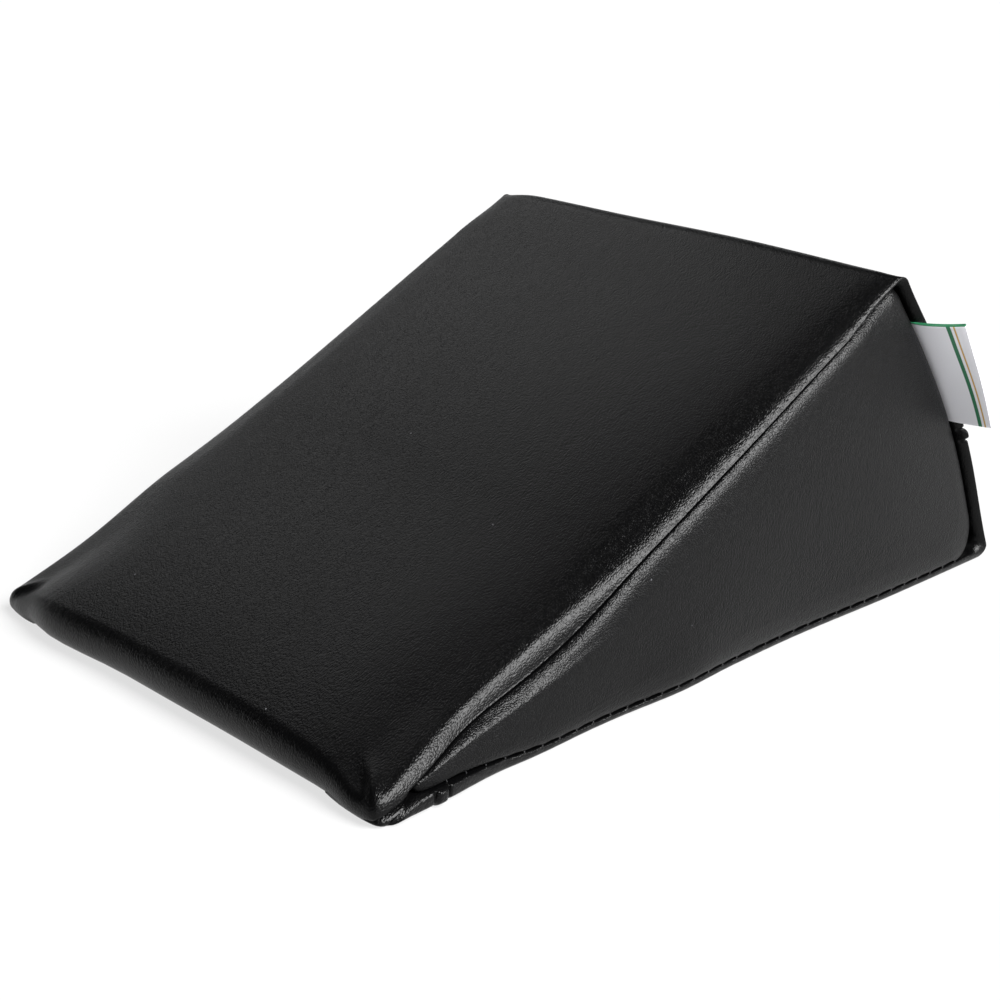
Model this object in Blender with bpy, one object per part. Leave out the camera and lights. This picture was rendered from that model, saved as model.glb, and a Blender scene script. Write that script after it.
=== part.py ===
"""Wedge pillow: a foam wedge in a sewn leatherette cover, lying on its longest face.

Metres, +Z up. The origin is on the resting face, midway between the two sides and midway
between the sharp front vertex and the heel. +Y runs from the thin front edge to the high
back, and +X to the side that carries the label.

Looked at from the side the pillow is a right-angled triangle. Its three edges are the base,
the slope and the back, and its corners are the front, the ridge and the heel. Every surface
is a row of closed loops round that triangle, and a table says how far each loop is drawn in.
"""

import math
from collections import namedtuple

import bmesh
import bpy
from mathutils import Matrix, Vector

MM = 0.001

# Driving dimensions, in millimetres
SLOPE_LENGTH = 205.0
BACK_LENGTH = 99.0
SLOPE_CROWN = 2.0
BACK_CROWN = 2.5
BACK_BOW = 3.4
SEAM_EASES_OVER = 40.0
SIDES_LEAN = 0.045
BASE_WAIST = 0.02
WAIST_RISE = 30.0
PANEL_BULGE = 3.5
PANEL_THICKNESS = 2.2
SEAT_GAP = 0.35
FRONT_SEAM_AT = 23.5
BACK_SEAM_AT = 57.0

# The ribbon label in the back seam
LABEL_FROM = 17.0
LABEL_TO = 51.5
LABEL_ROOT = 4.5
LABEL_REACH = 11.8
LABEL_LAYER = 1.0
LABEL_LAYER_GAP = 0.6
LABEL_LEAN_TOP = math.radians(24)
LABEL_LEAN_BOTTOM = math.radians(10)

# The side view
FRONT_ANGLE = math.atan2(BACK_LENGTH, SLOPE_LENGTH)
BASE_LENGTH = math.hypot(SLOPE_LENGTH, BACK_LENGTH)
FRONT = Vector((-BASE_LENGTH / 2, 0.0))
HEEL = Vector((BASE_LENGTH / 2, 0.0))
RIDGE = FRONT + SLOPE_LENGTH * Vector((math.cos(FRONT_ANGLE), math.sin(FRONT_ANGLE)))

Edge = namedtuple("Edge", "start along outward")
EDGES = {
    "base": Edge(HEEL, Vector((-1, 0)), Vector((0, -1))),
    "slope": Edge(
        FRONT,
        Vector((math.cos(FRONT_ANGLE), math.sin(FRONT_ANGLE))),
        Vector((-math.sin(FRONT_ANGLE), math.cos(FRONT_ANGLE))),
    ),
    "back": Edge(
        RIDGE,
        Vector((math.sin(FRONT_ANGLE), -math.cos(FRONT_ANGLE))),
        Vector((math.cos(FRONT_ANGLE), math.sin(FRONT_ANGLE))),
    ),
}
CORNERS = (("heel", "back", "base"), ("front", "base", "slope"), ("ridge", "slope", "back"))
ARC_STEPS = 6
SLOPE_STEPS = 16
LABEL_STEPS = 6
# Steps on the two sides of a cross seam, in the direction that the loop runs
BASE_STEPS = (10, 3)
BACK_STEPS = (6, 4)

# A cross seam: a turned edge between two shallow grooves, in millimetres across and deep
SeamPoint = namedtuple("SeamPoint", "across depth")
CROSS_SEAM = (
    SeamPoint(-3.2, 0.0),
    SeamPoint(-2.0, 1.3),
    SeamPoint(-1.0, 0.2),
    SeamPoint(1.0, 0.2),
    SeamPoint(2.0, 1.3),
    SeamPoint(3.2, 0.0),
)

# One loop of the cover. For each edge, "in" is how far the loop is drawn in from the sharp
# triangle and "x" is how far it lies from the middle of the width. The slope has three such
# values: at its front end, along its length and at its ridge end. sag draws the slope's seam
# further down at mid length. The three radii round the corners, crown is the share of the
# swelling of the slope and the back, and groove the share of the cross seams' depth.
Loop = namedtuple(
    "Loop",
    "name base_in base_x front_in slope_in ridge_in slope_x sag back_in back_x"
    " heel front ridge crown groove",
)
COVER = (
    Loop("middle", 0.0, 0.0, 0.0, 0.0, 0.0, 0.0, 0.0, 0.0, 0.0, 5.0, 2.4, 10.0, 1.0, 1.0),
    Loop("part way", 0.0, 24.0, 0.0, 0.0, 0.0, 24.0, 0.0, 0.0, 24.0, 5.0, 2.4, 10.0, 0.9, 1.0),
    Loop("flat", 0.0, 48.0, 0.0, 0.0, 0.0, 46.0, 0.0, 0.0, 48.0, 5.0, 2.2, 9.5, 0.6, 1.0),
    Loop("shoulder", 0.0, 61.0, 0.0, 0.1, 0.2, 59.5, 0.0, 0.2, 61.0, 4.5, 1.9, 8.5, 0.3, 1.0),
    Loop("bend", 0.0, 69.5, 0.0, 0.5, 0.7, 68.0, 0.1, 0.5, 69.0, 4.0, 1.6, 7.0, 0.1, 1.0),
    Loop("fall", 0.0, 74.0, 0.1, 1.4, 1.7, 73.5, 0.6, 0.9, 73.5, 3.6, 1.3, 5.0, 0.0, 1.0),
    Loop("brow", 0.3, 76.7, 0.3, 2.5, 2.7, 76.4, 1.2, 1.4, 76.4, 3.2, 1.1, 3.5, 0.0, 1.2),
    Loop("lip", 0.8, 77.8, 0.6, 3.4, 3.4, 77.2, 1.6, 2.2, 77.8, 3.0, 1.0, 2.4, 0.0, 1.2),
    Loop("hem", 1.6, 77.2, 1.4, 4.0, 4.2, 76.6, 1.9, 3.8, 77.2, 4.5, 1.0, 2.4, 0.0, 0.6),
)
RECESS_WALL = Loop(
    "recess", 2.2, 73.3, 2.7, 4.2, 5.2, 73.3, 2.0, 4.6, 73.3, 8.0, 1.2, 3.0, 0.0, 0.0
)
PANEL_EDGE = Loop(
    "panel", 2.55, 73.3, 3.05, 4.55, 5.55, 73.3, 2.0, 8.0, 73.3, 9.0, 1.2, 3.0, 0.0, 0.0
)

# How far the side panel's inner loops shrink towards the middle of the side
FIELD_SCALES = (0.8, 0.52, 0.24)

# The rim of a side panel: how far in from its edge, and how far out of the recess
RimPoint = namedtuple("RimPoint", "inward rise")
PANEL_RIM = (RimPoint(0.0, 1.0), RimPoint(0.5, 1.8), RimPoint(1.8, PANEL_THICKNESS))

COVER_BLACK = (0.022, 0.022, 0.024, 1.0)
LABEL_WHITE = (0.78, 0.78, 0.80, 1.0)


def clear_scene():
    for obj in list(bpy.data.objects):
        bpy.data.objects.remove(obj)


def material(name, colour, roughness):
    made = bpy.data.materials.new(name)
    made.use_nodes = True
    shader = made.node_tree.nodes["Principled BSDF"]
    shader.inputs["Base Color"].default_value = colour
    shader.inputs["Roughness"].default_value = roughness
    shader.inputs["Metallic"].default_value = 0.0
    return made


def meet(first, first_in, second, second_in):
    """The point where two edges cross once each is drawn in by its own distance."""
    a, b = EDGES[first], EDGES[second]
    a_reach = a.outward.dot(a.start) - first_in
    b_reach = b.outward.dot(b.start) - second_in
    spread = a.outward.x * b.outward.y - a.outward.y * b.outward.x
    return Vector(
        (
            (a_reach * b.outward.y - b_reach * a.outward.y) / spread,
            (b_reach * a.outward.x - a_reach * b.outward.x) / spread,
        )
    )


def steps(start, end, count):
    """Evenly spaced values from start to end, both included."""
    return [start + (end - start) * i / count for i in range(count + 1)]


def edge_depths(name, begin, end, loop):
    """(distance along the edge, depth inside it) for the points between two arcs."""
    if name == "slope":
        places = [(s, 0.0) for s in steps(begin, end, SLOPE_STEPS)[1:-1]]
    else:
        seam = BASE_LENGTH - FRONT_SEAM_AT if name == "base" else BACK_SEAM_AT
        before, after = BASE_STEPS if name == "base" else BACK_STEPS
        reach = CROSS_SEAM[-1].across
        seam = min(seam, end - 2 * reach)
        places = [(s, 0.0) for s in steps(begin, seam - reach, before)[1:-1]]
        places += [(seam + p.across, p.depth * loop.groove) for p in CROSS_SEAM]
        places += [(s, 0.0) for s in steps(seam + reach, end, after)[1:-1]]
    return [(s, depth + inset(name, s, loop)) for s, depth in places]


def hump(t):
    """Nothing at 0 and 1, with no slope there, and one half way."""
    return math.sin(math.pi * t) ** 2


def eased(t):
    """A smooth rise from 0 to 1."""
    t = min(max(t, 0.0), 1.0)
    return t * t * (3 - 2 * t)


def inset(name, s, loop):
    """How far an edge of a loop is drawn in, at a distance along it."""
    if name == "base":
        return loop.base_in
    if name == "back":
        return loop.back_in - (BACK_CROWN * loop.crown + BACK_BOW) * hump(s / BACK_LENGTH)
    near_front = 1 - eased(s / SEAM_EASES_OVER)
    near_ridge = 1 - eased((SLOPE_LENGTH - s) / SEAM_EASES_OVER)
    drawn_in = (
        loop.slope_in
        + (loop.front_in - loop.slope_in) * near_front
        + (loop.ridge_in - loop.slope_in) * near_ridge
    )
    return drawn_in - (SLOPE_CROWN * loop.crown - loop.sag) * hump(s / SLOPE_LENGTH)


def loop_points(loop):
    """The closed loop that one row of the table describes, as points in millimetres."""
    drawn_in = {
        "heel": (loop.back_in, loop.base_in),
        "front": (loop.base_in, loop.front_in),
        "ridge": (loop.ridge_in, loop.back_in),
    }
    out_to = {"base": loop.base_x, "slope": loop.slope_x, "back": loop.back_x}
    radii = {"heel": loop.heel, "front": loop.front, "ridge": loop.ridge}
    arcs = {}
    begins, ends = {}, {}
    for corner, coming, going in CORNERS:
        r = radii[corner]
        first_in, second_in = drawn_in[corner]
        centre = meet(coming, first_in + r, going, second_in + r)
        turn = EDGES[coming].outward.angle_signed(EDGES[going].outward)
        arc = []
        for i in range(ARC_STEPS + 1):
            share = i / ARC_STEPS
            spoke = Matrix.Rotation(-turn * share, 2) @ EDGES[coming].outward
            blend = share * share * (3 - 2 * share)
            x = out_to[coming] * (1 - blend) + out_to[going] * blend
            arc.append((x, *(centre + r * spoke)))
        arcs[corner] = arc
        ends[coming] = EDGES[coming].along.dot(centre - EDGES[coming].start)
        begins[going] = EDGES[going].along.dot(centre - EDGES[going].start)
    points = []
    for corner, _, going in CORNERS:
        points += arcs[corner]
        edge = EDGES[going]
        for s, depth in edge_depths(going, begins[going], ends[going], loop):
            flat = edge.start + edge.along * s - edge.outward * depth
            points.append((out_to[going], *flat))
    return [Vector(p) for p in points]


def incentre():
    """The middle of the side, equally far from the recess's three edges."""
    corners = [
        meet("base", RECESS_WALL.base_in, "slope", RECESS_WALL.front_in),
        meet("slope", RECESS_WALL.ridge_in, "back", RECESS_WALL.back_in),
        meet("back", RECESS_WALL.back_in, "base", RECESS_WALL.base_in),
    ]
    front, ridge, heel = corners
    weights = ((heel - ridge).length, (front - heel).length, (ridge - front).length)
    total = sum(weights)
    return sum((w * c for w, c in zip(weights, corners)), Vector((0, 0))) / total, corners


SIDE_MIDDLE, SIDE_CORNERS = incentre()


def bulge(y, z):
    """How far the side swells at a point: nothing at the seams and most in the middle."""
    front, ridge, heel = SIDE_CORNERS
    whole = (ridge - front).cross(heel - front)
    here = Vector((y, z))
    shares = (
        (ridge - here).cross(heel - here) / whole,
        (heel - here).cross(front - here) / whole,
        (front - here).cross(ridge - here) / whole,
    )
    bubble = max(0.0, 27 * shares[0] * shares[1] * shares[2])
    return PANEL_BULGE * (1 - (1 - min(bubble, 1.0)) ** 1.5)


def shrunk(points, scale, rise):
    """A loop drawn towards the side's middle, lying on the swelling side, raised by rise."""
    made = []
    for p in points:
        flat = SIDE_MIDDLE + (Vector((p.y, p.z)) - SIDE_MIDDLE) * scale
        made.append(Vector((RECESS_WALL.base_x + rise + bulge(*flat), *flat)))
    return made


def mirrored(loops):
    return [[Vector((-p.x, p.y, p.z)) for p in loop] for loop in loops]


def settled(p):
    """A point after the sides have leaned in towards the ridge and drawn in along the base."""
    along = (p.y - FRONT.x) / BASE_LENGTH
    waist = BASE_WAIST * hump(along) * (1 - eased(p.z / WAIST_RISE))
    return Vector((p.x * (1 - SIDES_LEAN * p.z / RIDGE.y - waist), p.y, p.z))


def add_loop(bm, points):
    verts = [bm.verts.new(settled(p) * MM) for p in points]
    return [bm.edges.new((verts[i - 1], verts[i])) for i in range(len(verts))]


def close_end(bm, edges):
    """Fills the last small loop with a fan."""
    face = bmesh.ops.contextual_create(bm, geom=edges)["faces"]
    bmesh.ops.poke(bm, faces=face)


def skin(name, loops, finish):
    """One closed solid whose surface runs through the loops, with both ends filled."""
    bm = bmesh.new()
    rings = [add_loop(bm, points) for points in loops]
    for near, far in zip(rings, rings[1:]):
        bmesh.ops.bridge_loops(bm, edges=near + far)
    close_end(bm, rings[0])
    close_end(bm, rings[-1])
    bmesh.ops.recalc_face_normals(bm, faces=bm.faces)
    mesh = bpy.data.meshes.new(name)
    bm.to_mesh(mesh)
    bm.free()
    mesh.shade_smooth()
    mesh.set_sharp_from_angle(angle=math.radians(50))
    mesh.materials.append(finish)
    obj = bpy.data.objects.new(name, mesh)
    bpy.context.scene.collection.objects.link(obj)
    return obj


def side_of_cushion():
    """The loops of one side, from the middle of the width out to the middle of that side."""
    outside = [loop_points(row) for row in COVER[1:]]
    edge = loop_points(PANEL_EDGE)
    field = [shrunk(edge, scale, 0.0) for scale in (1.0, *FIELD_SCALES)]
    return outside + [loop_points(RECESS_WALL)] + field


def make_cushion(finish):
    """The filled wedge: foam and cover as one solid, with a shallow recess in each side."""
    right = side_of_cushion()
    left = mirrored(right)
    return skin("filled_wedge", left[::-1] + [loop_points(COVER[0])] + right, finish)


def panel_loops():
    """A side panel, from the middle of its back to the middle of its face."""
    edge = loop_points(PANEL_EDGE)
    scales = (*reversed(FIELD_SCALES), 1.0)
    back = [shrunk(edge, scale, SEAT_GAP) for scale in scales]
    inradius = (BACK_LENGTH + SLOPE_LENGTH - BASE_LENGTH) / 2
    rim = [shrunk(edge, 1 - p.inward / inradius, SEAT_GAP + p.rise) for p in PANEL_RIM]
    face = [shrunk(edge, scale, SEAT_GAP + PANEL_THICKNESS) for scale in FIELD_SCALES]
    return back + rim + face


def make_side_panels(finish):
    loops = panel_loops()
    return [
        skin("side_panel_right", loops, finish),
        skin("side_panel_left", mirrored(loops), finish),
    ]


def label_section(lean):
    """The folded ribbon seen along its width, as (out of the side, towards the back)."""
    half = LABEL_LAYER_GAP / 2
    full = half + LABEL_LAYER
    way = Vector((math.cos(lean), math.sin(lean)))
    side = Vector((-way.y, way.x))
    fold = Vector((LABEL_ROOT, 0.0)) + way * (LABEL_REACH - full)
    layers = []
    for off in (full, half):
        layer = [Vector((0.0, off)), Vector((LABEL_ROOT, off))]
        for angle in steps(0.0, math.pi, ARC_STEPS):
            layer.append(fold + (side * math.cos(angle) + way * math.sin(angle)) * off)
        layer += [Vector((LABEL_ROOT, -off)), Vector((0.0, -off))]
        layers.append(layer)
    outer, inner = layers
    return outer + inner[::-1]


def reach_at(loop, s):
    """How far a loop lies outside the back's straight edge, at a distance along that edge."""
    edge = EDGES["back"]
    spots = []
    for p in loop_points(loop):
        flat = Vector((p.y, p.z)) - edge.start
        spots.append((edge.along.dot(flat), edge.outward.dot(flat)))
    near = max(spot for spot in spots if spot[0] <= s and spot[1] > -12)
    far = min(spot for spot in spots if spot[0] > s and spot[1] > -12)
    share = (s - near[0]) / (far[0] - near[0])
    return near[1] + share * (far[1] - near[1])


def make_label(finish):
    """A ribbon folded in two, its ends held in the seam between the right side and the back."""
    edge = EDGES["back"]
    loops = []
    for s in steps(LABEL_FROM, LABEL_TO, LABEL_STEPS):
        down = (s - LABEL_FROM) / (LABEL_TO - LABEL_FROM)
        lean = LABEL_LEAN_TOP + (LABEL_LEAN_BOTTOM - LABEL_LEAN_TOP) * down
        middle = (reach_at(RECESS_WALL, s) + reach_at(PANEL_EDGE, s)) / 2
        root = edge.start + edge.along * s + edge.outward * middle
        ring = []
        for p in label_section(lean):
            flat = root + edge.outward * p.y
            ring.append(Vector((RECESS_WALL.back_x + SEAT_GAP + p.x, *flat)))
        loops.append(ring)
    return skin("label", loops, finish)


clear_scene()
leatherette = material("black leatherette", COVER_BLACK, 0.42)
ribbon = material("white satin ribbon", LABEL_WHITE, 0.55)
make_cushion(leatherette)
make_side_panels(leatherette)
make_label(ribbon)
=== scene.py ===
# %% [markdown]
# # A wedge pillow in a sewn leatherette cover
# The object is a block of firm foam, a right-angled triangle in side view, that lies on its
# longest face. A maker cuts one long panel that runs up the slope, over the ridge and down
# the back, a base panel that meets it in two cross seams, and two triangular side panels.
# A folded ribbon label is caught in the right back seam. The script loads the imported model
# as a fixed frame and dresses it piece by piece.

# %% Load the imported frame
import math

import bmesh
import bpy
import numpy as np
from mathutils import Matrix, Vector, noise


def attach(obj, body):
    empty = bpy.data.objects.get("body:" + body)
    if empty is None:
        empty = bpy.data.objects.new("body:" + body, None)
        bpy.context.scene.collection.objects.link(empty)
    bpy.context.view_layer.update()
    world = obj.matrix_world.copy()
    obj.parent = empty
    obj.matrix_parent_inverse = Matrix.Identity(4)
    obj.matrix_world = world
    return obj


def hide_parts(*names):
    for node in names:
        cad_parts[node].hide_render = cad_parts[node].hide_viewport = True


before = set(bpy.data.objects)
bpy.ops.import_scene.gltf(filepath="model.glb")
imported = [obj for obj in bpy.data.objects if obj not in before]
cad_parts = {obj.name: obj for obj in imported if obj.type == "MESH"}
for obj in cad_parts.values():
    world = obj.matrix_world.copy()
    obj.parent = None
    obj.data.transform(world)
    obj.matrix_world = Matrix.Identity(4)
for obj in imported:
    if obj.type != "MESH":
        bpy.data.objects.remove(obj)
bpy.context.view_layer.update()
MM = 0.001
print("nodes:", sorted(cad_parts))

# %% [markdown]
# ## The side view
# Every surface of the pillow is a closed line round the same triangle, drawn in a little
# more or a little less. So the first step is that triangle: its three edges, each with a
# starting corner, a direction and an outward normal. The sizes are those of the solids.

# %% The triangle and its three edges
SLOPE_LENGTH = 205.0
BACK_LENGTH = 99.0
FRONT_ANGLE = math.atan2(BACK_LENGTH, SLOPE_LENGTH)
BASE_LENGTH = math.hypot(SLOPE_LENGTH, BACK_LENGTH)
UP_SLOPE = np.array([math.cos(FRONT_ANGLE), math.sin(FRONT_ANGLE)])
DOWN_BACK = np.array([math.sin(FRONT_ANGLE), -math.cos(FRONT_ANGLE)])
FRONT = np.array([-BASE_LENGTH / 2, 0.0])
HEEL = np.array([BASE_LENGTH / 2, 0.0])
RIDGE = FRONT + SLOPE_LENGTH * UP_SLOPE

# each edge: where it starts, which way it runs, which way is out
EDGES = {
    "base": (HEEL, np.array([-1.0, 0.0]), np.array([0.0, -1.0])),
    "slope": (FRONT, UP_SLOPE, np.array([-UP_SLOPE[1], UP_SLOPE[0]])),
    "back": (RIDGE, DOWN_BACK, np.array([-DOWN_BACK[1], DOWN_BACK[0]])),
}
CORNERS = (("heel", "back", "base"), ("front", "base", "slope"), ("ridge", "slope", "back"))
print("triangle:", FRONT.round(1), RIDGE.round(1), HEEL.round(1))


def hump(t):
    """Nothing at 0 and 1, with no slope there, and one half way."""
    return np.sin(np.pi * t) ** 2


def eased(t):
    """A smooth rise from 0 to 1."""
    t = np.clip(t, 0.0, 1.0)
    return t * t * (3 - 2 * t)


def meet(first, first_in, second, second_in):
    """The point where two edges cross once each is drawn in by its own distance."""
    (a_start, _, a_out), (b_start, _, b_out) = EDGES[first], EDGES[second]
    reach = [a_out @ a_start - first_in, b_out @ b_start - second_in]
    return np.linalg.solve(np.array([a_out, b_out]), reach)


# %% [markdown]
# ## Tables of sections
# A table has one row for each line round the triangle. It says how far the line is drawn in
# from each edge and how far it lies from the middle of the width. The cushion's rows go from
# the middle of its width, over the soft shoulder, to the lip where the side panel is sewn
# in, and then into the seam. A curve through the rows gives as many lines as the surface
# needs, so the table stays short. The last two columns say how much of the seam's pull
# near the front a row takes: tuck moves it in, and dip moves it down.

# %% The cushion's rows and the panel's rows
COLUMNS = (
    "base_in base_x front_in slope_in ridge_in slope_x sag back_in back_x heel front ridge"
    " crown tuck dip"
).split()
COVER = [
    # base       front slope ridge slope  sag  back      radii          crown tuck dip
    [0.00, 0.0, -6.85, 0.00, 0.00, 0.00, 0.0, 0.0, 0.0, 5.0, 6.1, 8.0, 1.0, 0.0, 0.0],
    [0.00, 24.0, -6.85, 0.00, 0.00, 24.0, 0.0, 0.0, 24.0, 5.0, 6.1, 8.0, 0.9, 0.0, 0.0],
    [0.00, 46.0, -6.45, 0.00, 0.00, 44.0, 0.0, 0.0, 46.0, 5.0, 5.8, 8.0, 0.6, 0.0, 0.0],
    [0.00, 60.0, -5.15, 0.20, 0.25, 56.5, 0.0, 0.1, 60.0, 4.5, 5.0, 7.5, 0.3, 0.0, 0.05],
    [0.00, 68.0, -3.65, 0.70, 0.80, 65.0, 0.1, 0.4, 68.5, 4.0, 3.8, 6.5, 0.1, 0.15, 0.1],
    [0.00, 73.0, -3.1, 1.45, 1.60, 70.2, 0.5, 0.7, 73.4, 3.4, 3.45, 5.2, 0.0, 0.2, 0.1],
    [0.10, 75.8, -2.6, 2.10, 2.35, 73.5, 0.9, 0.8, 76.2, 2.8, 3.2, 3.8, 0.0, 0.5, 0.12],
    [0.50, 76.7, -1.8, 2.60, 2.90, 75.0, 1.2, 0.9, 77.5, 2.4, 2.7, 2.4, 0.0, 0.8, 0.3],
    [1.15, 77.1, -0.5, 3.10, 3.45, 75.8, 1.4, 1.4, 77.5, 2.4, 1.9, 1.8, 0.0, 0.95, 0.55],
    [1.85, 77.2, 0.7, 3.50, 3.90, 76.15, 1.5, 2.2, 76.7, 2.6, 1.1, 2.0, 0.0, 1.0, 0.9],
    [2.12, 76.4, 1.0, 3.75, 4.15, 76.2, 1.5, 2.9, 75.3, 2.8, 1.1, 2.6, 0.0, 1.0, 1.0],
    [2.18, 73.8, 1.2, 3.85, 4.30, 74.7, 1.5, 3.1, 73.3, 3.2, 1.2, 3.0, 0.0, 1.0, 1.0],
]
PANEL = [
    [2.22, 74.2, 1.4, 4.05, 4.50, 74.7, 1.5, 3.3, 73.6, 6.5, 1.2, 3.0, 0.0, 1.0, 1.0],
    [2.30, 75.6, 1.3, 3.96, 4.40, 76.05, 1.5, 3.6, 73.9, 7.0, 1.2, 3.0, 0.0, 1.0, 1.0],
    [2.43, 76.7, 1.3, 3.90, 4.40, 76.4, 1.5, 3.9, 74.6, 7.2, 1.3, 3.0, 0.0, 1.0, 1.0],
    [2.75, 77.3, 1.6, 4.25, 4.80, 76.9, 1.5, 4.3, 75.6, 7.5, 1.6, 3.0, 0.0, 0.95, 0.95],
    [3.55, 77.7, 2.5, 5.05, 5.60, 77.5, 1.5, 5.0, 76.6, 8.0, 2.4, 3.0, 0.0, 0.8, 0.8],
    [5.40, 78.0, 4.5, 6.70, 7.20, 78.0, 1.6, 6.6, 77.3, 8.0, 4.0, 3.0, 0.0, 0.45, 0.5],
    [8.60, 78.2, 7.8, 11.0, 11.0, 78.2, 1.6, 9.6, 77.7, 8.0, 6.5, 3.0, 0.0, 0.1, 0.15],
]


def rows_between(table, places):
    """Rows at any places of a table, on a smooth curve through its own rows."""
    table = np.array(table)
    last = len(table) - 1
    found = []
    for place in places:
        i = min(int(place), last - 1)
        u = place - i
        a, b, c, d = (table[min(max(i + k, 0), last)] for k in (-1, 0, 1, 2))
        row = 2 * b + (c - a) * u + (2 * a - 5 * b + 4 * c - d) * u**2
        found.append((row + (3 * b - a - 3 * c + d) * u**3) / 2)
    return [dict(zip(COLUMNS, row)) for row in found]


print(len(COVER), "rows for the cushion and", len(PANEL), "for a side panel")

# %% [markdown]
# ## How far each edge is drawn in
# Foam pushes the cover out in the middle of each face, and the seams hold it in. So an edge
# isn't drawn in evenly. The slope has a low crown and the back bows out. At the front edge
# and at the ridge the slope has values of its own that ease into the middle's, which makes
# the nose full. Along the base the lip stands highest near the front, and the slope's seam
# dips where the stitches pull hardest. One function gives all of it, so that the cushion,
# the panels, the thread and the label agree.

# %% Crowns, lip and dip
SLOPE_CROWN = 2.0
BACK_CROWN = 2.5
BACK_BOW = 3.4
NOSE_EASES_OVER = 95.0
RIDGE_EASES_OVER = 40.0
LIP_HEIGHT = 2.0
LIP_MORE_AT_FRONT = 2.2
LIP_MORE_AT_HEEL = 0.6
SEAM_DIP = 2.3
# where the seam dips, in mm up the slope
DIP_RUNS = (28.0, 100.0)


def hump_between(s, begin, end):
    """A hump along one part of an edge."""
    return hump(np.clip((s - begin) / (end - begin), 0, 1))


def inset(name, s, row):
    """How far an edge of a line is drawn in, at distances along it."""
    if name == "base":
        more = LIP_MORE_AT_FRONT * eased((s - (BASE_LENGTH - 62.0)) / 38.0)
        more *= 1 - eased((s - (BASE_LENGTH - 14.0)) / 10.0)
        more += LIP_MORE_AT_HEEL * (1 - eased(s / 30.0))
        return row["base_in"] + more * min(row["base_in"] / LIP_HEIGHT, 1.0)
    if name == "back":
        swell = BACK_CROWN * row["crown"] + BACK_BOW
        return row["back_in"] - swell * hump(s / BACK_LENGTH)
    near_front = 1 - eased(s / NOSE_EASES_OVER)
    near_ridge = 1 - eased((SLOPE_LENGTH - s) / RIDGE_EASES_OVER)
    drawn_in = (
        row["slope_in"]
        + (row["front_in"] - row["slope_in"]) * near_front
        + (row["ridge_in"] - row["slope_in"]) * near_ridge
    )
    drawn_in += SEAM_DIP * row["dip"] * hump_between(s, *DIP_RUNS)
    return drawn_in - (SLOPE_CROWN * row["crown"] - row["sag"]) * hump(s / SLOPE_LENGTH)


def corner_centre(corner, coming, going, row):
    """The centre of a corner's arc, and where the arc starts and ends on the two edges."""
    r = row[corner]
    first_in = second_in = 0.0
    for _ in range(8):
        centre = meet(coming, first_in + r, going, second_in + r)
        end = EDGES[coming][1] @ (centre - EDGES[coming][0])
        begin = EDGES[going][1] @ (centre - EDGES[going][0])
        first_in, second_in = inset(coming, end, row), inset(going, begin, row)
    return centre, end, begin


# %% [markdown]
# ## One line round the triangle
# A line is made of three arcs and three edges. The cross seams and the stitches are at
# fixed distances along an edge, so the points are placed there by distance and not by
# share. They lie close enough together to give each stitch its own small dimple. Near the
# front the slope's seam is also pulled in towards the middle of the width.

# %% The points of one line
ARC_STEPS = {"heel": 12, "front": 18, "ridge": 14}
SLOPE_STEPS = 384
BASE_STEPS = (380, 18)
BACK_STEPS = (46, 38)
FRONT_SEAM_AT = BASE_LENGTH - 23.5
BACK_SEAM_AT = 57.0
CROSS_SEAM_HALF = 3.6
CROSS_SEAM_STEPS = 28
ENDS_EASE_OVER = 26.0
# where the seam is pulled in, in mm up the slope, and how much more near the tip
TUCK_RUNS = (14.0, 100.0)
TIP_TUCK_RUNS = (-4.0, 66.0)
TIP_TUCK = 0.5
TUCK_EASES_OVER = 18.0


def stations(name, begin, end):
    """Distances along an edge for the points between its two arcs."""
    if name == "slope":
        return np.linspace(begin, end, SLOPE_STEPS + 1)[1:-1]
    seam = FRONT_SEAM_AT if name == "base" else BACK_SEAM_AT
    before, after = BASE_STEPS if name == "base" else BACK_STEPS
    seam = min(seam, end - 1.5 * CROSS_SEAM_HALF)
    return np.concatenate(
        [
            np.linspace(begin, seam - CROSS_SEAM_HALF, before + 1)[1:-1],
            np.linspace(seam - CROSS_SEAM_HALF, seam + CROSS_SEAM_HALF, CROSS_SEAM_STEPS + 1),
            np.linspace(seam + CROSS_SEAM_HALF, end, after + 1)[1:-1],
        ]
    )


def across(name, s, begin, end, row):
    """How far from the middle of the width the points of an edge lie."""
    x = row[name + "_x"] + 0.0 * s
    if name == "slope":
        x += (row["base_x"] - x) * (1 - eased((s - begin) / ENDS_EASE_OVER))
        x += (row["back_x"] - x) * (1 - eased((end - s) / ENDS_EASE_OVER))
        pulled_in = hump_between(s, *TUCK_RUNS) + TIP_TUCK * hump_between(s, *TIP_TUCK_RUNS)
        x -= row["tuck"] * pulled_in * eased((s - begin) / TUCK_EASES_OVER)
    return x


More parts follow.
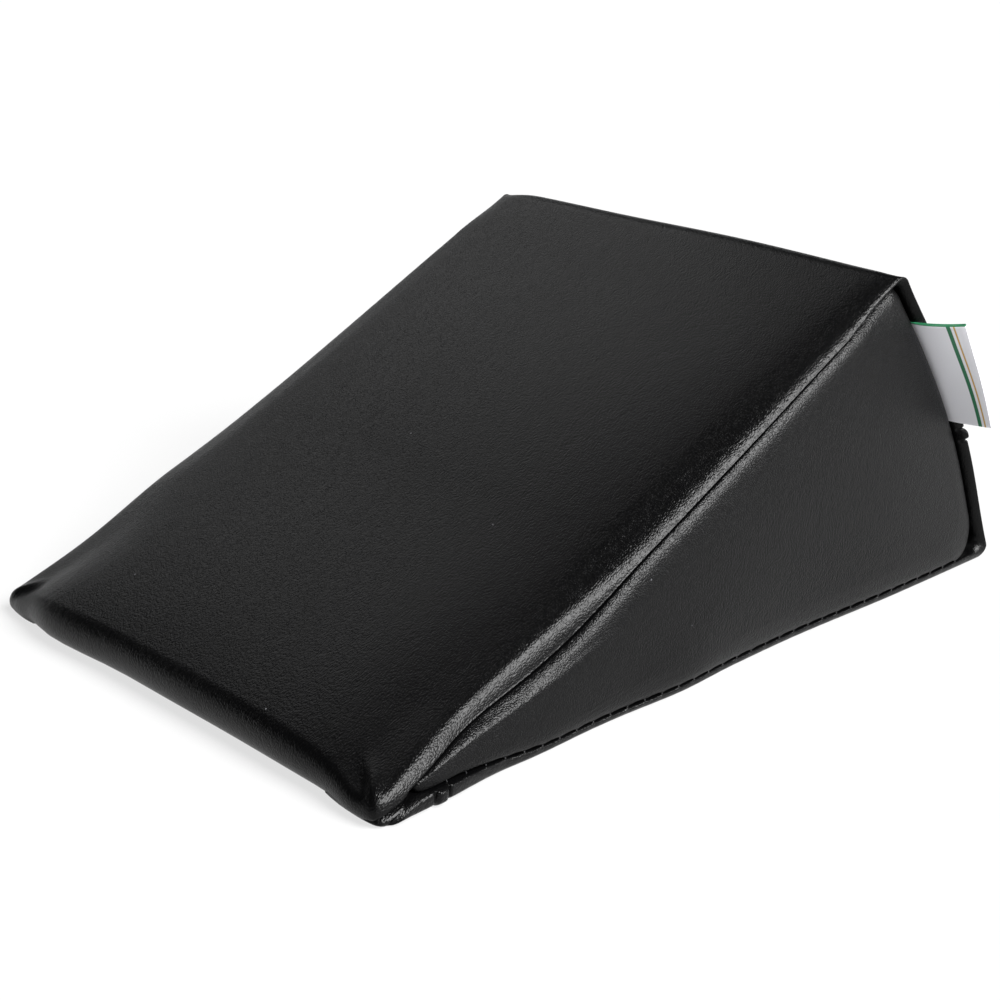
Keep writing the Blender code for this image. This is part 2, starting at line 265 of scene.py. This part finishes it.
def line_round(row, relief=None):
    """The points of one closed line, x, y and z in millimetres."""
    arcs, begins, ends = {}, {}, {}
    for corner, coming, going in CORNERS:
        centre, ends[coming], begins[going] = corner_centre(corner, coming, going, row)
        out_a, out_b = EDGES[coming][2], EDGES[going][2]
        turn = math.atan2(out_a[0] * out_b[1] - out_a[1] * out_b[0], out_a @ out_b)
        share = np.linspace(0, 1, ARC_STEPS[corner] + 1)
        angle = math.atan2(out_a[1], out_a[0]) + turn * share
        x_from = row["base_x" if corner == "front" else "back_x"]
        x_to = row["back_x" if corner == "ridge" else "base_x"]
        ring = centre + row[corner] * np.stack([np.cos(angle), np.sin(angle)], axis=1)
        arcs[corner] = np.column_stack([x_from + (x_to - x_from) * eased(share), ring])
    parts = []
    for corner, _, going in CORNERS:
        start, along, outward = EDGES[going]
        s = stations(going, begins[going], ends[going])
        x = across(going, s, begins[going], ends[going], row)
        deep = inset(going, s, row)
        if relief:
            wider, deeper = relief(going, s)
            x, deep = x + wider, deep + deeper
        flat = start + np.outer(s, along) - np.outer(deep, outward)
        parts += [arcs[corner], np.column_stack([x, flat])]
    return np.concatenate(parts)


print("points in a line:", len(line_round(rows_between(COVER, [0])[0])))

# %% [markdown]
# ## Uneven
# A sewn cover is never quite even. The sides lean in towards the ridge, and a few places
# stand in or out by a millimetre or two. A list of soft pushes moves whatever is near them,
# as a sculpting brush does, so all the pieces stay together.

# %% Lean and pushes
SIDES_LEAN = 0.045
PUSHES = [
    # where                   how far it reaches, and the move
    ((77.0, 66.0, 86.0), 22.0, (-1.8, 0.0, 0.6)),
    ((-77.0, 66.0, 86.0), 20.0, (2.4, -1.0, -0.9)),
    ((20.0, 67.0, 88.0), 50.0, (0.0, 0.0, 0.6)),
    ((-77.0, -108.0, 2.0), 30.0, (1.8, 3.0, 0.0)),
    ((-45.0, -110.0, 4.0), 28.0, (0.0, -1.2, 0.0)),
    ((-76.0, -85.0, 14.0), 34.0, (0.8, 0.0, -2.0)),
    ((-76.0, -48.0, 30.0), 40.0, (-0.4, 0.0, 0.0)),
    ((77.0, -92.0, 1.0), 24.0, (1.5, -1.0, 0.0)),
    ((77.0, -109.0, 1.0), 16.0, (1.5, 0.0, 0.0)),
    ((77.0, -64.0, 1.0), 24.0, (0.8, 0.0, 0.0)),
    ((77.0, -14.0, 1.0), 22.0, (0.8, 0.0, 0.0)),
    ((77.0, 30.0, 1.0), 45.0, (-1.0, 0.0, 0.0)),
    ((77.0, 105.0, 30.0), 45.0, (0.0, 1.4, 0.0)),
    ((77.0, 85.0, 60.0), 30.0, (0.0, 0.6, 0.0)),
]


def settled(points):
    """Points of a line after the lean and the pushes."""
    x, y, z = points.T
    moved = np.column_stack([x * (1 - SIDES_LEAN * z / RIDGE[1]), y, z])
    for where, reach, move in PUSHES:
        near = 1 - eased(np.linalg.norm(moved - where, axis=1) / reach)
        moved = moved + np.outer(near, move)
    moved[:, 2] = np.maximum(moved[:, 2], 0.0)
    return moved


# %% [markdown]
# ## From lines to a surface
# The surface is a plain grid from `bmesh.ops.create_grid`. Each row of the grid is laid along
# one line, its two ends are welded where the line closes, and the last rows shrink to a
# point that is welded too. Moving the vertices of a ready grid keeps its quads in order,
# which smooth shading needs.

# %% Lay a grid along lines
def finished(name, bm, finish):
    """Turns a bmesh into a smooth-shaded piece that rides on the pillow's one body."""
    mesh = bpy.data.meshes.new(name)
    bm.to_mesh(mesh)
    bm.free()
    mesh.shade_smooth()
    mesh.materials.append(finish)
    piece = bpy.data.objects.new(name, mesh)
    bpy.context.scene.collection.objects.link(piece)
    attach(piece, "root")
    print(f"{name}: {len(mesh.vertices)} vertices, {len(mesh.polygons)} faces")
    return piece


def grid_piece(name, lines, finish):
    """One closed mesh whose surface runs through the lines."""
    lines = [settled(line) for line in lines]
    count = len(lines[0])
    wide = count + 1
    bm = bmesh.new()
    bmesh.ops.create_grid(bm, x_segments=count, y_segments=len(lines) - 1, size=0.5)
    bm.verts.ensure_lookup_table()
    for i, line in enumerate(lines):
        for j in range(wide):
            bm.verts[i * wide + j].co = Vector(line[j % count]) * MM
    bmesh.ops.remove_doubles(bm, verts=bm.verts, dist=1e-6)
    bmesh.ops.recalc_face_normals(bm, faces=bm.faces)
    return finished(name, bm, finish)


# %% [markdown]
# ## The pinched front corner
# At a front corner the cover is gathered. A slit opens between the side panel's front tip and
# the corner's own tip, and a short fold runs back over the slope. Both could be cut into the
# mesh, but here they are laid into the lines: how far a point lies beside a slanting axis
# says how deep the slit or how high the fold is there. The other side is a mirror image.

# %% Mirror, slit and fold
# the slit's slope, and where it starts, ends and how deep it is, in mm
EAR_GAP_RISE = 0.62 * FRONT_ANGLE
EAR_GAP_STARTS = 4.6
EAR_GAP_ENDS = 28.0
EAR_GAP_DEPTH = 2.6


def mirrored(line):
    """The same line on the other side of the width."""
    return line * np.array([-1.0, 1.0, 1.0])


def with_ear_gap(line):
    """A line with the slit that runs from the side panel's front tip to the corner's tip."""
    way = np.array([math.cos(EAR_GAP_RISE), math.sin(EAR_GAP_RISE)])
    flat = line[:, 1:] - FRONT
    along = flat @ way
    beside = flat @ np.array([-way[1], way[0]])
    opens = eased((along - EAR_GAP_STARTS) / 1.6) * eased((EAR_GAP_ENDS - along) / 6.0)
    slit = opens * np.exp(-((beside / (0.20 + 0.026 * along)) ** 2))
    shaped = line.copy()
    shaped[:, 0] -= EAR_GAP_DEPTH * slit * (line[:, 0] > 60)
    return shaped


def with_corner_fold(line, height):
    """A line with the pinched fold that runs from a front corner over the slope."""
    x, y, z = line.T
    inward = 76.5 - x
    back = y + 108.0
    along = 0.74 * inward + 0.68 * back
    beside = 0.74 * back - 0.68 * inward
    length = eased(along / 4.0) * (1 - eased((along - 5.0) / 10.0)) * eased((z - 0.8) / 2.0)
    ridge = np.exp(-((beside / 1.5) ** 2)) - 0.45 * np.exp(-(((beside + 2.8) / 1.6) ** 2))
    lift = height * length * ridge * (x > 50)
    return line + np.outer(lift, [0.0, *EDGES["slope"][2]])


# %% [markdown]
# ## The middle of a side
# The lines of a side close in on the point that is equally far from all three edges. Towards
# it they keep their shape as they shrink, so they never cross.

# %% Shrink a line to the middle of its side
side_row = dict(zip(COLUMNS, COVER[-1]))
SIDE_CORNERS = np.array(
    [
        meet("base", side_row["base_in"], "slope", side_row["front_in"]),
        meet("slope", side_row["ridge_in"], "back", side_row["back_in"]),
        meet("back", side_row["back_in"], "base", side_row["base_in"]),
    ]
)
opposite = np.linalg.norm(SIDE_CORNERS[[1, 2, 0]] - SIDE_CORNERS[[2, 0, 1]], axis=1)
SIDE_MIDDLE = opposite @ SIDE_CORNERS / opposite.sum()
print("middle of a side:", SIDE_MIDDLE.round(1))


def towards_middle(line, scale):
    """A line drawn towards the middle of its side, and more level the smaller it is."""
    moved = line.copy()
    moved[:, 1:] = SIDE_MIDDLE + (line[:, 1:] - SIDE_MIDDLE) * scale
    level = line[:, 0].mean()
    moved[:, 0] = level + (line[:, 0] - level) * scale**3
    return moved


# %% [markdown]
# ## Black leatherette
# The cover is a soft plastic-coated cloth with a fine pressed grain. The grain is drawn out
# along the slope, because the long panel is cut along the roll. It is almost invisible on the
# flat faces and shows where a seam turns the surface through the light, so it is made with
# bump and not with colour. The roughness varies a little in soft patches, and a few specks
# of dust lie on it. On the side panels the grain is smoother and hardly drawn out.

# %% Two helpers for materials
def new_material(name):
    """A material, its nodes and links, and its one shader."""
    made = bpy.data.materials.new(name)
    made.use_nodes = True
    nodes = made.node_tree.nodes
    return made, nodes, made.node_tree.links, nodes["Principled BSDF"]


def add_node(nodes, kind, **inputs):
    """A shader node with its inputs set by name."""
    node = nodes.new(kind)
    for key, value in inputs.items():
        node.inputs[key.replace("_", " ")].default_value = value
    return node


# %% The leatherette material
def leatherette(name, turn, stretch, grain_scale, crease_depth):
    """Satin black leatherette, its grain drawn out along a turned Y axis."""
    made, nodes, links, shader = new_material(name)
    where = nodes.new("ShaderNodeTexCoord")
    turned = add_node(nodes, "ShaderNodeMapping", Rotation=turn, Scale=(1.0, stretch, 1.0))
    turned.vector_type = "TEXTURE"
    links.new(where.outputs["Object"], turned.inputs["Vector"])

    warp = add_node(nodes, "ShaderNodeTexNoise", Scale=420.0, Detail=2.0)
    bent = nodes.new("ShaderNodeVectorMath")
    bent.operation = "MULTIPLY_ADD"
    bent.inputs[1].default_value = (0.0009,) * 3
    links.new(turned.outputs["Vector"], warp.inputs["Vector"])
    links.new(warp.outputs["Color"], bent.inputs[0])
    links.new(turned.outputs["Vector"], bent.inputs[2])

    pebbles = add_node(nodes, "ShaderNodeTexVoronoi", Scale=grain_scale)
    pebbles.feature = "SMOOTH_F1"
    pebbles.inputs["Smoothness"].default_value = 0.6
    links.new(bent.outputs["Vector"], pebbles.inputs["Vector"])
    creases = add_node(nodes, "ShaderNodeTexNoise", Scale=520.0, Detail=5.0, Roughness=0.62)
    links.new(turned.outputs["Vector"], creases.inputs["Vector"])

    grain = add_node(nodes, "ShaderNodeBump", Strength=0.8, Distance=0.00013)
    grain.invert = True
    links.new(pebbles.outputs["Distance"], grain.inputs["Height"])
    fine = add_node(nodes, "ShaderNodeBump", Strength=crease_depth, Distance=0.0002)
    links.new(creases.outputs["Fac"], fine.inputs["Height"])
    links.new(grain.outputs["Normal"], fine.inputs["Normal"])
    links.new(fine.outputs["Normal"], shader.inputs["Normal"])

    patches = add_node(nodes, "ShaderNodeTexNoise", Scale=35.0, Detail=3.0)
    sheen = add_node(nodes, "ShaderNodeMapRange", To_Min=0.27, To_Max=0.36)
    links.new(where.outputs["Object"], patches.inputs["Vector"])
    links.new(patches.outputs["Fac"], sheen.inputs["Value"])
    links.new(sheen.outputs["Result"], shader.inputs["Roughness"])

    specks = add_node(nodes, "ShaderNodeTexVoronoi", Scale=75.0)
    dust = nodes.new("ShaderNodeMath")
    dust.operation = "LESS_THAN"
    dust.inputs[1].default_value = 0.016
    colour = nodes.new("ShaderNodeMix")
    colour.data_type = "RGBA"
    colour.inputs["A"].default_value = (0.001, 0.001, 0.0011, 1.0)
    colour.inputs["B"].default_value = (0.07, 0.07, 0.075, 1.0)
    links.new(where.outputs["Object"], specks.inputs["Vector"])
    links.new(specks.outputs["Distance"], dust.inputs[0])
    links.new(dust.outputs["Value"], colour.inputs["Factor"])
    links.new(colour.outputs["Result"], shader.inputs["Base Color"])
    shader.inputs["Specular IOR Level"].default_value = 0.135
    return made


along_slope = (FRONT_ANGLE, 0.0, math.radians(14))
cover_leatherette = leatherette("leatherette", along_slope, 2.0, 3000.0, 0.4)
side_leatherette = leatherette("side leatherette", (FRONT_ANGLE, 0.0, 0.0), 1.1, 3000.0, 0.1)

# %% [markdown]
# ## The cushion
# On the real pillow the long panel and the base panel are stretched over foam that keeps its
# faces flat, so the cushion is shaped from the tables of sections and not blown up as cloth.
# Near the seams the stitches pull the leatherette down every few millimetres. The turned edge
# of a cross seam stands up between two narrow grooves.

# %% What the sewing does to the cushion
STITCH_PITCH = 5.6
RIGHT_SEED = 1.0
LEFT_SEED = 7.0
LIP_PLACE = 8.6


def stitch_pull(s):
    """One at each stitch and nothing half way between two."""
    return (0.5 + 0.5 * np.cos(2 * np.pi * s / STITCH_PITCH)) ** 4


def slow_noise(s, seed, length):
    """A smooth random value from -1 to 1 along a seam."""
    return np.array([noise.noise(Vector((v / length, seed, 0.0))) for v in s])


def cross_seam(beside, depth, height):
    """Depth of a cross seam in mm: a turned edge between two narrow grooves."""
    grooves = depth * np.exp(-(((np.abs(beside) - 1.9) / 0.38) ** 2))
    return grooves - height * np.exp(-((beside / 1.4) ** 4))


def cover_relief(place, seed):
    """What the sewing does to one row of the cushion: (wider, deeper) along an edge."""
    near_lip = math.exp(-(((place - LIP_PLACE) / 1.2) ** 2))
    on_face = 1 - eased((place - 5.5) / 2.0)
    on_lip = (1 - on_face) * (1 - eased((place - 8.8) / 1.0))

    def relief(name, s):
        pull = stitch_pull(s) * (1 + 0.6 * slow_noise(s, seed, 4.0)) * near_lip
        roam = slow_noise(s, seed + 3.0, 26.0) * near_lip
        if name == "slope":
            return -0.05 * pull, 0.08 * pull + 0.12 * roam
        if name == "base":
            seam = cross_seam(s - FRONT_SEAM_AT, 1.3, 0.5)
            out = 1.6 * eased((s - (BASE_LENGTH - 46.0)) / 22.0)
            out *= (1 - on_face) * (1 - eased((s - (BASE_LENGTH - 12.0)) / 9.0))
            return out + 0.3 * roam - seam * on_lip, 0.25 * pull + seam * on_face
        seam = cross_seam(s - BACK_SEAM_AT, 0.8, 0.9)
        return 0.2 * roam - seam * on_lip, seam * on_face

    return relief


# %% Model the cushion
COVER_PLACES = np.concatenate(
    [np.linspace(0, 3, 9)[:-1], np.linspace(3, 6, 11)[:-1], np.linspace(6, 11, 22)]
)
FOLD_RIGHT = 1.0
FOLD_LEFT = 0.7
TUCK_RIGHT = 1.0
TUCK_LEFT = 0.2


def tucked(rows, share):
    """Rows whose seam is pulled in and down near the front by a share of the full tuck."""
    return [{**row, "tuck": row["tuck"] * share, "dip": row["dip"] * share} for row in rows]


def half_of_cushion(seed, fold, tuck):
    """Lines from the middle of the width to the middle of one side's recess."""
    rows = tucked(rows_between(COVER, COVER_PLACES), tuck)
    lines = [line_round(r, cover_relief(p, seed)) for r, p in zip(rows, COVER_PLACES)]
    lines = [with_corner_fold(with_ear_gap(line), fold) for line in lines]
    return lines + [towards_middle(lines[-1], scale) for scale in (0.9, 0.5, 0.0)]


right_half = half_of_cushion(RIGHT_SEED, FOLD_RIGHT, TUCK_RIGHT)
left_half = half_of_cushion(LEFT_SEED, FOLD_LEFT, TUCK_LEFT)
cushion = grid_piece(
    "cushion", [mirrored(line) for line in left_half[:0:-1]] + right_half, cover_leatherette
)
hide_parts("filled_wedge")

# %% [markdown]
# ## The side panels
# Each side is a triangle of leatherette with rounded corners, sewn in along all three edges.
# Along the slope it rounds into the seam level with the cover. Along the base its edge lifts
# off the lip between two stitches, which leaves a row of short dark slits, and at the back
# it rolls into a groove.

# %% Both side panels
PANEL_BULGE = 1.2
PANEL_PLACES = np.concatenate([np.linspace(0, 4, 17)[:-1], np.linspace(4, 6, 6)])
PANEL_SCALES = (0.985, 0.96, 0.93, 0.89, 0.84, 0.76, 0.66, 0.54, 0.42, 0.28, 0.14, 0.0)


def cross(a, b):
    """Twice the area between two flat directions."""
    return a[..., 0] * b[..., 1] - a[..., 1] * b[..., 0]


def bulge(line):
    """How far the panel swells: nothing at the seams and most in the middle."""
    front, ridge, heel = SIDE_CORNERS
    here = line[:, 1:]
    shares = (
        cross(ridge - here, heel - here)
        * cross(heel - here, front - here)
        * cross(front - here, ridge - here)
        / cross(ridge - front, heel - front) ** 3
    )
    return PANEL_BULGE * (1 - (1 - np.clip(27 * shares, 0, 1)) ** 1.5)


def panel_relief(place, seed):
    """What the stitches do to one row of a side panel."""
    near_edge = math.exp(-(((place - 2.0) / 1.3) ** 2))

    def relief(name, s):
        pull = stitch_pull(s) * (1 + 0.6 * slow_noise(s, seed, 4.0)) * near_edge
        if name == "slope":
            return -0.10 * pull, 0.06 * pull
        if name == "base":
            return -0.15 * pull, 0.60 * near_edge - 0.65 * pull
        return -0.1 * pull, 0.1 * pull

    return relief


def panel_lines(seed, tuck):
    """Lines from the panel's hidden edge to the middle of its face."""
    rows = tucked(rows_between(PANEL, PANEL_PLACES), tuck)
    lines = [line_round(r, panel_relief(p, seed)) for r, p in zip(rows, PANEL_PLACES)]
    lines += [towards_middle(lines[-1], scale) for scale in PANEL_SCALES]
    return [line + np.outer(bulge(line), [1, 0, 0]) for line in lines]


right_panel = grid_piece("right_panel", panel_lines(2.0, TUCK_RIGHT), side_leatherette)
left_lines = [mirrored(line) for line in panel_lines(5.0, TUCK_LEFT)]
left_panel = grid_piece("left_panel", left_lines, side_leatherette)
for panel, node in ((right_panel, "side_panel_right"), (left_panel, "side_panel_left")):
    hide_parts(node)

# %% [markdown]
# ## Stitches
# In the base seams the lockstitch shows as a short bit of black thread that crosses the dark
# slit every few millimetres. In the other seams it lies hidden in the groove. A thread could
# be a curve with a round profile. Each stitch here is a small stretched sphere, because it
# is only a millimetre long, and all those of a side are one mesh with few faces.

# %% The thread's material
def thread_material():
    """Black thread with a fine twist."""
    made, nodes, links, shader = new_material("black thread")
    where = nodes.new("ShaderNodeTexCoord")
    ply = add_node(nodes, "ShaderNodeTexNoise", Scale=2600.0, Detail=2.0)
    twist = add_node(nodes, "ShaderNodeBump", Strength=0.5, Distance=0.00008)
    shine = add_node(nodes, "ShaderNodeMapRange", To_Min=0.4, To_Max=0.6)
    links.new(where.outputs["Object"], ply.inputs["Vector"])
    links.new(ply.outputs["Fac"], twist.inputs["Height"])
    links.new(ply.outputs["Fac"], shine.inputs["Value"])
    links.new(shine.outputs["Result"], shader.inputs["Roughness"])
    links.new(twist.outputs["Normal"], shader.inputs["Normal"])
    shader.inputs["Base Color"].default_value = (0.012, 0.012, 0.013, 1.0)
    return made


# %% Thread in the base seams
STITCH_PLACE = 9.2
STITCH_DEEPER = 0.35
STITCH_OUT = -0.15
STITCH_LENGTH = 1.5
STITCH_TILT = math.radians(75)
STITCH_SKEW = 0.35
THREAD = 0.45
FIRST_STITCH_AT = 12.0
LAST_STITCH_AT = BASE_LENGTH - 26.0


def make_stitches(name, side):
    """Every stitch of one side's base seam, as one mesh."""
    row = rows_between(COVER, [STITCH_PLACE])[0]
    start, along, outward = EDGES["base"]
    lie = Vector((math.cos(STITCH_TILT) * side, 0.0, 0.0))
    lie += Vector((0.0, *(-outward * math.sin(STITCH_TILT))))
    lie += Vector((0.0, *along)) * STITCH_SKEW
    turn = lie.to_track_quat("X", "Z").to_matrix().to_4x4()
    size = Matrix.Diagonal((STITCH_LENGTH / 2, THREAD / 2, THREAD / 2, 1 / MM))
    bm = bmesh.new()
    count = math.ceil(FIRST_STITCH_AT / STITCH_PITCH)
    while count * STITCH_PITCH < LAST_STITCH_AT:
        s = np.array([count * STITCH_PITCH])
        x = np.array([row["base_x"] + STITCH_OUT])
        deep = inset("base", s, row) + STITCH_DEEPER
        flat = start + np.outer(s, along) - np.outer(deep, outward)
        spot = settled(np.column_stack([x, flat]))[0] * np.array([side, 1, 1])
        bmesh.ops.create_uvsphere(
            bm, u_segments=8, v_segments=5, radius=1.0,
            matrix=Matrix.Translation(Vector(spot) * MM) @ turn @ (size * MM),
        )
        count += 1
    return finished(name, bm, thread)


thread = thread_material()
for name, side in (("right_stitches", 1), ("left_stitches", -1)):
    stitches = make_stitches(name, side)

# %% [markdown]
# ## The ribbon label
# The label is a white satin ribbon, folded in two with both ends caught in the seam behind
# the right side panel. Its top edge is a green selvedge. Two plain stripes run down its
# face. It is one strip of cloth, so it is modelled as a grid laid along the fold, and the
# Solidify modifier gives it the thickness of a ribbon.

# %% Satin with a green selvedge
LABEL_WIDTH = 34.5
LABEL_THICK = 0.24


def ribbon_material():
    """White satin; the map runs in millimetres along the ribbon and across it."""
    made, nodes, links, shader = new_material("white satin ribbon")
    where = nodes.new("ShaderNodeUVMap")
    where.uv_map = "ribbon_mm"
    split = nodes.new("ShaderNodeSeparateXYZ")
    links.new(where.outputs["UV"], split.inputs["Vector"])

    def band(axis, middle, half, colour, under):
        beside = nodes.new("ShaderNodeMath")
        beside.operation = "SUBTRACT"
        beside.inputs[1].default_value = middle
        apart = nodes.new("ShaderNodeMath")
        apart.operation = "ABSOLUTE"
        inside = add_node(nodes, "ShaderNodeMapRange", From_Min=half + 0.06, From_Max=half - 0.06)
        mix = nodes.new("ShaderNodeMix")
        mix.data_type = "RGBA"
        mix.inputs["B"].default_value = colour
        links.new(split.outputs[axis], beside.inputs[0])
        links.new(beside.outputs["Value"], apart.inputs[0])
        links.new(apart.outputs["Value"], inside.inputs["Value"])
        links.new(inside.outputs["Result"], mix.inputs["Factor"])
        if isinstance(under, tuple):
            mix.inputs["A"].default_value = under
        else:
            links.new(under, mix.inputs["A"])
        return mix.outputs["Result"]

    white = (0.84, 0.84, 0.88, 1.0)
    green = (0.02, 0.16, 0.07, 1.0)
    amber = (0.60, 0.36, 0.08, 1.0)
    face = band("X", 10.9, 0.55, green, white)
    face = band("X", 12.4, 0.22, amber, face)
    face = band("Y", 0.0, 0.28, green, face)
    links.new(face, shader.inputs["Base Color"])

    weave = add_node(nodes, "ShaderNodeTexWave", Scale=0.9, Distortion=0.6, Detail=2.0)
    weave.bands_direction = "Y"
    links.new(where.outputs["UV"], weave.inputs["Vector"])
    threads = add_node(nodes, "ShaderNodeBump", Strength=0.35, Distance=0.00005)
    links.new(weave.outputs["Fac"], threads.inputs["Height"])
    links.new(threads.outputs["Normal"], shader.inputs["Normal"])
    shine = add_node(nodes, "ShaderNodeMapRange", To_Min=0.42, To_Max=0.55)
    links.new(weave.outputs["Fac"], shine.inputs["Value"])
    links.new(shine.outputs["Result"], shader.inputs["Roughness"])
    return made


# %% The path of the folded ribbon
LABEL_FROM = 17.0
LABEL_ROOT = 4.5
LABEL_REACH = 11.2
LABEL_LESS_AT_BOTTOM = 1.6
LABEL_FOLD = 0.25
LABEL_LEAN_TOP = math.radians(24)
LABEL_LEAN_BOTTOM = math.radians(10)
ROOT_X = 73.9
STEPS_ALONG = 14
STEPS_ROUND = 8
STEPS_DOWN = 40


def label_path(lean, sway, reach):
    """The ribbon's path out to the fold and back, and the length up to each point."""
    way = np.array([math.cos(lean), math.sin(lean)])
    side = np.array([-way[1], way[0]])
    corner = np.array([LABEL_ROOT, 0.0])
    fold = corner + way * (reach - LABEL_FOLD)
    out = []
    for share in np.linspace(0, 1, STEPS_ALONG + 1):
        near = 2 * share * (1 - share) * corner + share**2 * fold
        out.append(near - side * (LABEL_FOLD * eased(share / 0.5) + sway * hump(share)))
    back = []
    for share in np.linspace(1, 0, STEPS_ALONG + 1):
        near = 2 * share * (1 - share) * corner + share**2 * fold
        back.append(near + side * (LABEL_FOLD * eased(share / 0.5) + 0.1 - sway * hump(share)))
    turn = np.linspace(-np.pi / 2, np.pi / 2, STEPS_ROUND + 1)[1:-1]
    round_end = [fold + (side * np.sin(a) + way * np.cos(a)) * LABEL_FOLD for a in turn]
    path = np.array(out + round_end + back)
    lengths = np.concatenate([[0], np.cumsum(np.linalg.norm(np.diff(path, axis=0), axis=1))])
    return path, lengths


# %% Model the ribbon
def make_label():
    """The ribbon as one grid, and the length of its strip in millimetres."""
    outward = EDGES["back"][2]
    wall, edge = rows_between(COVER, [10.5])[0], rows_between(PANEL, [1.0])[0]
    rows, maps = [], []
    for down in np.linspace(0, 1, STEPS_DOWN + 1):
        s = LABEL_FROM + LABEL_WIDTH * down
        lean = LABEL_LEAN_TOP + (LABEL_LEAN_BOTTOM - LABEL_LEAN_TOP) * down
        reach = LABEL_REACH - LABEL_LESS_AT_BOTTOM * down
        path, lengths = label_path(lean, 0.25 * math.sin(5.0 * down + 0.6), reach)
        middle = (inset("back", s, wall) + inset("back", s, edge)) / 2
        dip = 0.7 * hump(np.clip(lengths / lengths[-1], 0, 1)) * (1 - 1.2 * down)
        base = EDGES["back"][0] + np.outer(s + dip, EDGES["back"][1])
        flat = base + np.outer(path[:, 1] - middle, outward)
        rows.append(settled(np.column_stack([ROOT_X + path[:, 0], flat])))
        maps.append([(length, LABEL_WIDTH * down) for length in lengths])
    wide = len(rows[0])
    bm = bmesh.new()
    bmesh.ops.create_grid(bm, x_segments=wide - 1, y_segments=len(rows) - 1, size=0.5)
    bm.verts.ensure_lookup_table()
    uv = bm.loops.layers.uv.new("ribbon_mm")
    for i, line in enumerate(rows):
        for j in range(wide):
            bm.verts[i * wide + j].co = Vector(line[j]) * MM
    for face in bm.faces:
        for corner in face.loops:
            i, j = divmod(corner.vert.index, wide)
            corner[uv].uv = maps[i][j]
    piece = finished("ribbon_label", bm, ribbon)
    thick = piece.modifiers.new("thickness", "SOLIDIFY")
    thick.thickness = LABEL_THICK * MM
    thick.offset = 0.0
    print("ribbon length:", round(maps[0][-1][0], 1), "mm")
    return piece, maps[0][-1][0]


ribbon = ribbon_material()
label, label_length = make_label()
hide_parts("label")

# %% [markdown]
# ## Floor and light
# A black satin object shows almost nothing of its own colour, only what it reflects. So the
# lights are placed where each face would mirror them. A softbox behind and to the left is
# for the slope. Two wide soft suns on the right stand for windows, and light the rounding
# beside the seam. Nothing hangs straight above, which leaves the dark band between the
# two. The pale floor glows a little, as a light table does, and the side panels mirror it.
# The world is pale near the horizon only, as the walls of a studio would be.

# %% The floor
FLOOR_HALF = 6.0


def make_floor():
    """A wide pale floor that glows a little."""
    made, nodes, links, shader = new_material("pale floor")
    shader.inputs["Base Color"].default_value = (0.12, 0.12, 0.12, 1.0)
    shader.inputs["Roughness"].default_value = 0.9
    shader.inputs["Specular IOR Level"].default_value = 0.0
    shader.inputs["Emission Color"].default_value = (1.0, 1.0, 1.0, 1.0)
    shader.inputs["Emission Strength"].default_value = 0.72
    bm = bmesh.new()
    bmesh.ops.create_grid(bm, x_segments=1, y_segments=1, size=FLOOR_HALF)
    mesh = bpy.data.meshes.new("floor")
    bm.to_mesh(mesh)
    bm.free()
    mesh.materials.append(made)
    floor = bpy.data.objects.new("floor", mesh)
    bpy.context.scene.collection.objects.link(floor)


make_floor()

# %% The walls and the lights
LAMPS_AIM = Vector((0.0, 0.0, 0.04))


def softbox(name, away, power, wide, high):
    """A flat lamp that faces the pillow from the place given, in metres from it."""
    data = bpy.data.lights.new(name, "AREA")
    data.energy = power
    data.shape = "RECTANGLE"
    data.size = wide
    data.size_y = high
    made = bpy.data.objects.new(name, data)
    made.location = LAMPS_AIM + Vector(away)
    made.rotation_euler = Vector(away).to_track_quat("Z", "Y").to_euler()
    bpy.context.scene.collection.objects.link(made)


def pale_walls():
    """A world that is pale near the horizon and almost black overhead."""
    studio = bpy.data.worlds.new("studio")
    bpy.context.scene.world = studio
    studio.use_nodes = True
    nodes, links = studio.node_tree.nodes, studio.node_tree.links
    way = nodes.new("ShaderNodeTexCoord")
    split = nodes.new("ShaderNodeSeparateXYZ")
    fall = add_node(nodes, "ShaderNodeMapRange", From_Min=0.04, From_Max=0.24)
    fall.interpolation_type = "SMOOTHSTEP"
    fall.inputs["To Min"].default_value = 0.85
    fall.inputs["To Max"].default_value = 0.02
    links.new(way.outputs["Generated"], split.inputs["Vector"])
    links.new(split.outputs["Z"], fall.inputs["Value"])
    links.new(fall.outputs["Result"], nodes["Background"].inputs["Strength"])
    nodes["Background"].inputs["Color"].default_value = (0.98, 0.99, 1.0, 1.0)


pale_walls()
softbox("left softbox", (-0.895, 0.31, 0.82), 2.6, 0.8, 0.9)
for name, towards, strength, spread in (
    ("right window", (0.70, 0.17, 0.69), 10.5, 38),
    ("low right window", (0.85, 0.40, 0.36), 1.8, 36),
):
    sky = bpy.data.lights.new(name, "SUN")
    sky.energy = strength
    sky.angle = math.radians(spread)
    window = bpy.data.objects.new(name, sky)
    window.rotation_euler = Vector(towards).to_track_quat("Z", "Y").to_euler()
    bpy.context.scene.collection.objects.link(window)

# %% [markdown]
# ## Camera
# The camera stands where the photographer stood: a little above the pillow, off its front
# right corner, with a lens about half as long again as a normal one.

# %% The camera
camera_data = bpy.data.cameras.new("camera")
camera_data.sensor_width = 36.0
camera_data.lens = 72.5
camera = bpy.data.objects.new("camera", camera_data)
camera.location = (0.36374, -0.33960, 0.21118)
looking = Vector((-0.68449, 0.63860, -0.35165))
camera.rotation_mode = "QUATERNION"
camera.rotation_quaternion = looking.to_track_quat("-Z", "Y")
bpy.context.scene.collection.objects.link(camera)
bpy.context.scene.camera = camera
bpy.context.scene.view_settings.view_transform = "Standard"
